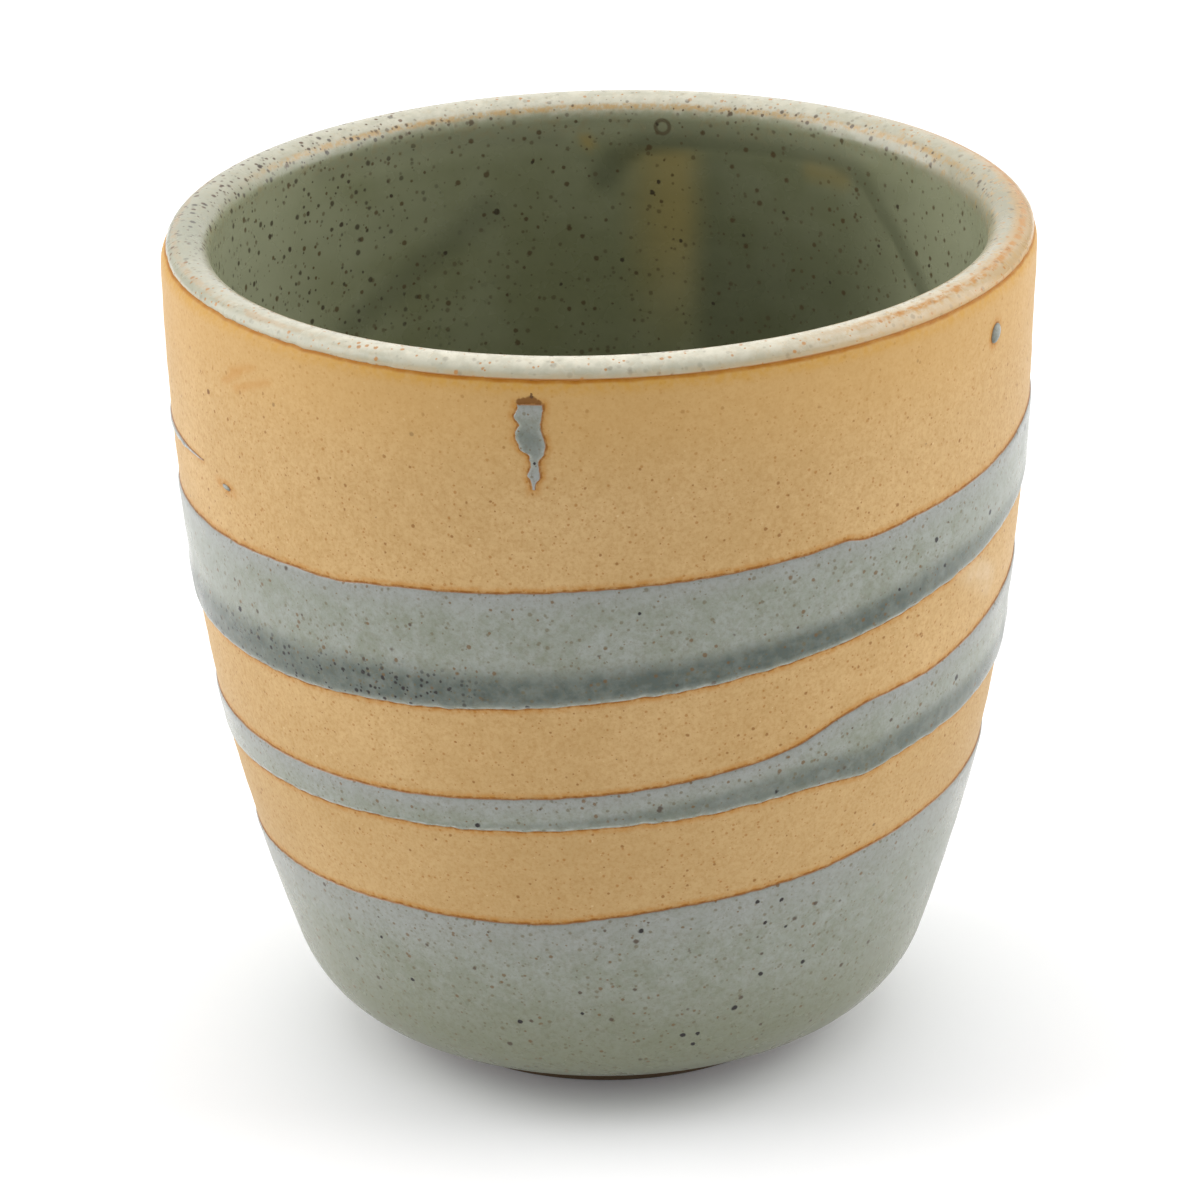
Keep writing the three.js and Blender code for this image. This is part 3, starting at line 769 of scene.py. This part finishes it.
def outer_glaze():
    material, tree, shader, place = new_finish("outer_glaze", 0.25)
    shader.inputs["Specular IOR Level"].default_value = 0.32
    grey_green = (0.211, 0.231, 0.173)
    blue_grey = (0.307, 0.327, 0.296)
    lavender = (0.298, 0.305, 0.3)
    slate = (0.072, 0.094, 0.081)
    foot_olive = (0.19, 0.202, 0.128)
    olive_speck = (0.12, 0.09, 0.035)
    rust = (0.135, 0.066, 0.012)
    iron_brown = (0.06, 0.034, 0.017)
    iron_black = (0.014, 0.01, 0.009)
    edge_brown = (0.33, 0.12, 0.006)
    pale_edge_highlight = (0.46, 0.48, 0.45)
    broad = fade(tree, cloud(tree, place, 5, 4, 0.6), 0.3, 0.7)
    close = fade(tree, cloud(tree, place, 1.0, 5, 0.7), 0.32, 0.68)
    blend = maths(tree, "MULTIPLY_ADD", close, 0.5, times(tree, broad, 0.5))
    colour = tint(tree, blend, grey_green, blue_grey)
    height = node(tree, "SeparateXYZ", {0: place}).outputs[2]
    colour = tint(tree, fade(tree, height, 22 * MM, 6 * MM, 0, 0.8), colour, foot_olive)
    colour = tint(tree, times(tree, mark(tree, "thin"), 0.6), colour, lavender)
    mottled = fade(tree, cloud(tree, place, 1.3, 4, 0.6), 0.3, 0.7, 0.68, 1.0)
    colour = tint(tree, times(tree, mark(tree, "pool"), mottled), colour, slate)
    grain = cloud(tree, place, 0.45, 4, 0.7)
    colour = tint(tree, fade(tree, grain, 0.42, 0.78, 0, 0.4), colour, olive_speck)
    colour = tint(tree, specks(tree, place, 0.8, 0.3, 0.6), colour, olive_speck)
    colour = tint(tree, specks(tree, place, 1.2, 0.32, 0.75), colour, rust)
    colour = tint(tree, specks(tree, place, 2.6, 0.42, 0.85), colour, iron_brown)
    pepper = times(tree, specks(tree, place, 0.66, 0.34, 1.0), mark(tree, "pepper"))
    colour = tint(tree, pepper, colour, iron_black)
    spots = spots_here(tree, place, spots_on_wall("outer_spots", OUTER_IRON, COAT_FILM))
    colour = tint(tree, spots, colour, iron_black)
    # Painted highlight: a thin, broken pale line where a coat's rolled lower edge would catch the light,
    # where the glaze also breaks thin.
    broken = fade(tree, cloud(tree, place, 1.1, 4, 0.6), 0.4, 0.62)
    colour = tint(tree, times(tree, mark(tree, "break_and_highlight"), broken), colour, pale_edge_highlight)
    colour = tint(tree, fade(tree, mark(tree, "edge"), 0.12, 0.03, 0, 0.75), colour, edge_brown)
    tree.links.new(colour, shader.inputs["Base Color"])
    tree.links.new(fade(tree, cloud(tree, place, 5), 0.3, 0.7, 0.22, 0.34), shader.inputs["Roughness"])
    bump = node(tree, "Bump", {"Height": cloud(tree, place, 2.5), "Strength": 0.07, "Distance": 0.08 * MM})
    tree.links.new(bump.outputs[0], shader.inputs["Normal"])
    return material


OUTER_GLAZE = outer_glaze()


def base_edge(degrees):
    return along_at(curve_through(BASE_EDGE, degrees) + ragged(degrees, seed=11, depth=0.07))


base_mesh, base_share, base_up, base_back = slab(BASE_COLUMNS, BASE_ROWS)
seam = [face for face in base_mesh.faces if all(abs(vert.co.x) > 0.9999 for vert in face.verts)]
bmesh.ops.delete(base_mesh, geom=seam, context="FACES_ONLY")
base_degrees = base_share * 360 - 180
base_top = base_edge(base_degrees)
base_below = eased(base_up) * (base_top - FOOT_MARGIN)
base_above = base_top - FOOT_MARGIN - base_below
base_rise = np.minimum(rounded(base_above, 0.5), rounded(base_below, 0.8))
base_proud = np.where(base_back, -COAT_ROOT, (COAT_FILM + COAT_SUNK) * base_rise - COAT_SUNK)
base_places = on_wall(base_degrees, FOOT_MARGIN + base_below, base_proud)
# edge is in millimetres from the coat's nearest edge. The other marks are shares of 1.
base_marks = {
    "pool": np.zeros_like(base_above),
    "thin": 0.8 * step_between(base_above, 7.0, 0.0),
    "pepper": np.zeros_like(base_above),
    "break_and_highlight": np.zeros_like(base_above),
    "edge": np.minimum(base_above, base_below),
}
base = make_piece("base_coat", base_mesh, base_places, OUTER_GLAZE, base_marks)
closing = bmesh.new()
closing.from_mesh(base.data)
bmesh.ops.remove_doubles(closing, verts=closing.verts, dist=WELD * MM)
closing.to_mesh(base.data)
closing.free()
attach(base, "root")
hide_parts("base_glaze")
toast_clay(np.maximum(clay_along - base_edge(clay_degrees), FOOT_MARGIN - clay_along))

# Spiral stripe
# The glaze that stayed between the turns of the waxed line: a ribbon that starts as a point at the back,
# climbs to the right through two turns and thins out to a tail. It is thick and dark where it ran to its
# lower edge.
STRIPE_FILM = 0.22
STRIPE_ROLL = 0.2
STRIPE_COLUMNS = 1360
STRIPE_ROWS = 26
POOL_TOP = 1.22
POOL_SOLID = 0.66
PEPPER_DEGREES = 309
STRIPE_LOWER = [
    (-165, 36.3), (-120, 34.9), (-75, 34.6), (-60, 35.0), (-45, 35.3), (-30, 35.7), (-15, 36.2), (0, 37.0),
    (15, 37.8), (27, 38.5), (33, 38.7), (39, 38.4), (45, 39.1), (60, 40.2), (75, 41.3), (120, 43.3),
    (180, 45.7), (240, 47.9), (285, 48.9), (300, 48.8), (315, 48.9), (330, 49.4), (345, 50.2), (360, 51.3),
    (375, 52.5), (390, 54.0), (405, 55.7), (420, 57.5), (435, 59.3), (480, 63.0), (540, 65.2), (600, 66.3),
    (638, 67.6), (645, 67.9), (655, 68.4),
]
STRIPE_UPPER = [
    (-165, 36.6), (-120, 38.4), (-75, 39.1), (-60, 38.9), (-45, 38.9), (-30, 39.2), (-15, 40.0), (0, 40.9),
    (15, 42.3), (25, 43.6), (30, 44.8), (33, 45.8), (37, 46.6), (45, 47.2), (50, 47.4), (60, 48.6),
    (75, 50.5), (120, 53.3), (180, 56.7), (240, 60.0), (285, 61.4), (300, 61.5), (315, 61.8), (324, 61.8),
    (327, 62.1), (330, 62.3), (345, 62.9), (360, 63.6), (375, 64.2), (390, 65.05), (393.5, 65.28),
    (394.7, 65.1), (405, 65.6), (420, 66.5), (430, 67.3), (435, 67.8), (442, 68.2), (470, 68.6),
    (540, 68.9), (600, 68.7), (638, 68.5), (645, 68.6), (655, 68.55),
]
POOL_HEIGHT = [
    (-165, 0.4), (0, 1.6), (30, 3.2), (75, 3.6), (180, 4.2), (285, 4.7), (330, 4.5), (360, 3.8), (390, 3.3),
    (410, 3.4), (425, 2.4), (440, 1.6), (655, 0.5),
]
POOL_DARKNESS = [
    (-165, 0.2), (-20, 0.35), (30, 0.8), (75, 0.85), (180, 0.8), (285, 0.92), (345, 1.0), (400, 1.0),
    (420, 0.7), (440, 0.35), (655, 0.1),
]


def stripe_edges(degrees):
    lower = along_at(curve_through(STRIPE_LOWER, degrees) + ragged(degrees, seed=21, depth=0.11))
    upper = along_at(curve_through(STRIPE_UPPER, degrees) + ragged(degrees, seed=22, depth=0.06))
    return lower, np.maximum(upper, lower + 0.2)


stripe_mesh, stripe_share, stripe_across, stripe_back = slab(STRIPE_COLUMNS, STRIPE_ROWS)
stripe_start = STRIPE_LOWER[0][0]
stripe_end = STRIPE_LOWER[-1][0]
stripe_degrees = stripe_start + (stripe_end - stripe_start) * stripe_share
lower_edge, upper_edge = stripe_edges(stripe_degrees)
stripe_width = upper_edge - lower_edge
stripe_below = eased(stripe_across) * stripe_width
stripe_above = stripe_width - stripe_below
pool_height = curve_through(POOL_HEIGHT, stripe_degrees)
pool = step_between(stripe_below, POOL_TOP * pool_height, POOL_SOLID * pool_height)
pool_darkness = curve_through(POOL_DARKNESS, stripe_degrees)
film = np.minimum(STRIPE_FILM, 0.3 * stripe_width)
edge_radius = np.minimum(0.55, 0.45 * stripe_width)
stripe_rise = np.minimum(rounded(stripe_below, edge_radius * 1.4), rounded(stripe_above, edge_radius))
stripe_film = (film + STRIPE_ROLL * pool_darkness * pool + COAT_SUNK) * stripe_rise - COAT_SUNK
stripe_proud = np.where(stripe_back, -COAT_ROOT, stripe_film)
stripe_places = on_wall(stripe_degrees, lower_edge + stripe_below, stripe_proud)
stripe_marks = {
    "pool": pool * pool_darkness * step_between(stripe_below, 0.0, 1.0),
    "thin": step_between(stripe_above, 3.0, 0.0),
    "pepper": pool * step_between(np.abs(stripe_degrees - PEPPER_DEGREES), 38, 28),
    # Just above the lower edge: a painted highlight along the rolled edge, where the glaze also thins.
    "break_and_highlight": 0.5 * step_between(np.abs(stripe_below - 0.26), 0.2, 0.05),
    "edge": np.minimum(stripe_above, stripe_below),
}
stripe = make_piece("spiral_stripe", stripe_mesh, stripe_places, OUTER_GLAZE, stripe_marks)
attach(stripe, "root")
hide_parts("spiral_glaze")
for turn in (-360, 0, 360, 720):
    turn_degrees = clay_degrees + turn
    turn_lower, turn_upper = stripe_edges(turn_degrees)
    beyond = np.maximum(stripe_start - turn_degrees, turn_degrees - stripe_end) * math.radians(RIM_RADIUS)
    cooler_tail = 0.3 * step_between(turn_degrees, 590, 635)
    outside_edges = np.maximum(turn_lower - clay_along, clay_along - turn_upper)
    toast_clay(np.maximum(outside_edges, beyond) + cooler_tail)

# Drip patch
# A ragged splash of the same glaze that clung below the lip after the dip, with a brown iron cap above it.
# The glaze pulled back into beads along its sides and left a thin neck above its lowest drop.
PATCH_DEGREES = -9.0
PATCH_TOP = 82.8
PATCH_LEFT = [
    (0, -1.14), (0.41, -1.11), (0.92, -1.34), (1.36, -1.5), (1.82, -1.19), (2.16, -0.97), (2.38, -1.14),
    (2.67, -1.31), (3.4, -1.4), (4.13, -1.11), (4.79, -0.79), (5.01, -0.33), (5.74, -0.06), (6.32, 0.04),
    (6.76, -0.12), (7.27, -0.34), (7.64, -0.1), (8.22, 0.07), (8.8, 0.15),
]
PATCH_RIGHT = [
    (0, 1.41), (0.63, 1.4), (1.36, 1.29), (2.09, 1.17), (2.96, 1.28), (3.84, 1.55), (4.28, 1.59),
    (5.01, 1.43), (5.45, 1.19), (5.74, 0.91), (6.32, 0.91), (7.05, 0.97), (7.56, 0.98), (7.93, 0.67),
    (8.22, 0.53), (8.8, 0.5),
]
PATCH_LENGTH = PATCH_LEFT[-1][0]
PATCH_FILM = 0.22
PATCH_COLUMNS = 110
PATCH_ROWS = 30
PATCH_MIDDLE = 3.8


def patch_side(points, below, seed):
    return curve_through(points, below) + ragged(below * 40, seed, depth=0.04)


patch_mesh, patch_down, patch_across, patch_back = slab(PATCH_COLUMNS, PATCH_ROWS)
patch_along = along_at(PATCH_TOP)
patch_radius = np.interp(patch_along, WALL_ALONG, WALL_RADIUS)
patch_below = eased(patch_down) * PATCH_LENGTH
patch_left = patch_side(PATCH_LEFT, patch_below, 31)
patch_width = np.maximum(patch_side(PATCH_RIGHT, patch_below, 32) - patch_left, 0.12)
patch_aside = eased(patch_across) * patch_width
patch_edge = np.minimum(patch_aside, patch_width - patch_aside)
patch_edge = np.minimum(patch_edge, np.minimum(patch_below, PATCH_LENGTH - patch_below))
patch_rise = rounded(patch_edge, 0.45)
patch_proud = np.where(patch_back, -COAT_ROOT, (PATCH_FILM + COAT_SUNK) * patch_rise - COAT_SUNK)
patch_degrees = PATCH_DEGREES + np.degrees((patch_left + patch_aside) / patch_radius)
patch_places = on_wall(patch_degrees, patch_along - patch_below, patch_proud)
from_middle = np.abs(patch_below - PATCH_MIDDLE)
patch_marks = {
    "pool": 0.6 * step_between(from_middle, 3.0, 0.4) * step_between(patch_edge, 0.15, 0.6),
    "thin": 0.15 + 0.85 * step_between(from_middle, 1.6, 3.6),
    "pepper": np.zeros_like(patch_below),
    "break_and_highlight": np.zeros_like(patch_below),
    "edge": patch_edge,
}
patch = make_piece("drip_splash", patch_mesh, patch_places, OUTER_GLAZE, patch_marks)
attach(patch, "root")
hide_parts("drip_patch")
clay_below = patch_along - clay_along
clay_aside = np.radians(clay_degrees - PATCH_DEGREES) * patch_radius
left_of_patch = patch_side(PATCH_LEFT, clay_below, 31) - clay_aside
right_of_patch = clay_aside - patch_side(PATCH_RIGHT, clay_below, 32)
above_patch = -clay_below
beside_patch = np.maximum(left_of_patch, right_of_patch)
toast_clay(np.maximum(beside_patch, np.maximum(above_patch, clay_below - PATCH_LENGTH)))

# Rim bead
# A round drop of glaze that landed on the bare clay under the lip and fired to a smooth button.
# It is sunk a little into the clay, as the glaze fused with it.
BEAD_DEGREES = 62.0
BEAD_HEIGHT = 80.5
BEAD_HALF_WIDTH = 0.85
BEAD_HALF_HEIGHT = 0.98
BEAD_PROUD = 0.4
BEAD_LEAN = 0.15


def drop(name, degrees, height, half_width, half_height, proud, lean):
    """A drop of glaze flattened on the wall, its underside sunk into the clay."""
    bm = bmesh.new()
    bmesh.ops.create_icosphere(bm, subdivisions=4, radius=1)
    ball = places_of(bm)
    along = along_at(height)
    round_radius = np.interp(along, WALL_ALONG, WALL_RADIUS)
    up = ball[:, 1] * half_height
    aside = ball[:, 0] * half_width + lean * up
    stand = np.where(ball[:, 2] > 0, ball[:, 2] * proud, ball[:, 2] * COAT_ROOT)
    places = on_wall(degrees + np.degrees(aside / round_radius), along + up, stand)
    none = np.zeros_like(aside)
    pool = 0.6 * step_between(ball[:, 1], 0.4, -0.7)
    marks = {"pool": pool, "thin": none + 0.5, "pepper": none, "break_and_highlight": none, "edge": none + 1}
    piece = make_piece(name, bm, places, OUTER_GLAZE, marks)
    clay_y = clay_along - along
    clay_x = np.radians(clay_degrees - degrees) * round_radius - lean * clay_y
    toast_clay((np.hypot(clay_x / half_width, clay_y / half_height) - 1) * min(half_width, half_height))
    return piece


bead = drop(
    "rim_drop", BEAD_DEGREES, BEAD_HEIGHT, BEAD_HALF_WIDTH, BEAD_HALF_HEIGHT, BEAD_PROUD, BEAD_LEAN
)
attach(bead, "root")
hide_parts("rim_bead")

# Stray fleck
# A small slanting fleck of the same glaze that was flicked on to the bare clay at the left.
# It is thinner than the bead and fused to the clay in the same way.
FLECK_DEGREES = -58.5
FLECK_HEIGHT = 67.2
FLECK_HALF_WIDTH = 0.68
FLECK_HALF_HEIGHT = 0.25
FLECK_PROUD = 0.18
FLECK_LEAN = -0.9

fleck = drop(
    "fleck_drop", FLECK_DEGREES, FLECK_HEIGHT, FLECK_HALF_WIDTH, FLECK_HALF_HEIGHT, FLECK_PROUD, FLECK_LEAN
)
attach(fleck, "root")
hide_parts("stray_fleck")

# Studio
# A seamless white sweep under softboxes at both sides, behind and above. The white room round it adds an
# even, weaker light that fills the shadows.
FLOOR_SIZE = 6.0
SWEEP_WHITE = (0.975, 0.976, 0.982, 1)
SWEEP_LIFT = (0.046, 0.047, 0.053)
CUP_MIDDLE = Vector((0, 0, 0.045))
VIEW_ELEVATION = math.radians(22.114)
VIEW_DISTANCE = 0.66994
VIEW_ROLL = math.radians(-1.2175)
VIEW_LENS = 195.0
PHOTO_PIXELS = 1200
SHIFT_PIXELS = -4.79
VIEW_SHIFT = SHIFT_PIXELS / PHOTO_PIXELS
SENSOR = 36.0
ROOM_LIGHT = 0.505


def white_floor():
    """A matt white sweep that looks a shade whiter than the light on it, and throws no more light back."""
    material, tree, shader, _ = new_finish("white_sweep", 0.9)
    shader.inputs["Base Color"].default_value = SWEEP_WHITE
    shader.inputs["Specular IOR Level"].default_value = 0.1
    rays = node(tree, "LightPath").outputs
    seen = maths(tree, "MAXIMUM", rays["Is Camera Ray"], rays["Is Glossy Ray"])
    seen = maths(tree, "MAXIMUM", seen, rays["Is Transmission Ray"])
    tree.links.new(tint(tree, seen, (0, 0, 0), SWEEP_LIFT), shader.inputs["Emission Color"])
    shader.inputs["Emission Strength"].default_value = 1.0
    return material


sweep_mesh = bmesh.new()
bmesh.ops.create_grid(sweep_mesh, x_segments=1, y_segments=1, size=FLOOR_SIZE / 2)
sweep_data = bpy.data.meshes.new("white_sweep")
sweep_mesh.to_mesh(sweep_data)
sweep_mesh.free()
sweep_data.materials.append(white_floor())
sweep = bpy.data.objects.new("white_sweep", sweep_data)
bpy.context.scene.collection.objects.link(sweep)


def soft_light(name, place, width, height, power):
    """A large softbox that faces the cup."""
    lamp = bpy.data.lights.new(name, "AREA")
    lamp.shape = "RECTANGLE"
    lamp.size = width
    lamp.size_y = height
    lamp.energy = power
    box = bpy.data.objects.new(name, lamp)
    aim = (CUP_MIDDLE - Vector(place)).to_track_quat("-Z", "Y")
    box.matrix_world = Matrix.Translation(place) @ aim.to_matrix().to_4x4()
    bpy.context.scene.collection.objects.link(box)


soft_light("left_softbox", (-0.95, 0.1, 0.5), 0.9, 1.0, 8.2)
soft_light("right_softbox", (0.95, 0.1, 0.5), 0.9, 1.0, 7.3)
soft_light("back_softbox", (0, 1.1, 0.6), 1.6, 1.0, 3.1)
soft_light("top_softbox", (0, 0.2, 1.25), 1.5, 1.2, 7.2)

world = bpy.data.worlds.new("studio")
world.use_nodes = True
world.node_tree.nodes["Background"].inputs["Color"].default_value = (1, 1, 1, 1)
world.node_tree.nodes["Background"].inputs["Strength"].default_value = ROOM_LIGHT
bpy.context.scene.world = world
bpy.context.scene.view_settings.view_transform = "Standard"

forward = Vector((0, math.cos(VIEW_ELEVATION), -math.sin(VIEW_ELEVATION)))
level_up = Vector((0, math.sin(VIEW_ELEVATION), math.cos(VIEW_ELEVATION)))
level_right = Vector((1, 0, 0))
right = math.cos(VIEW_ROLL) * level_right + math.sin(VIEW_ROLL) * level_up
up = math.cos(VIEW_ROLL) * level_up - math.sin(VIEW_ROLL) * level_right
lens = bpy.data.cameras.new("camera")
lens.sensor_width = SENSOR
lens.lens = VIEW_LENS
lens.shift_x = VIEW_SHIFT
camera = bpy.data.objects.new("camera", lens)
stand = CUP_MIDDLE - forward * VIEW_DISTANCE
facing = Matrix((right, up, -forward)).transposed().to_4x4()
camera.matrix_world = Matrix.Translation(stand) @ facing
bpy.context.scene.collection.objects.link(camera)
bpy.context.scene.camera = camera
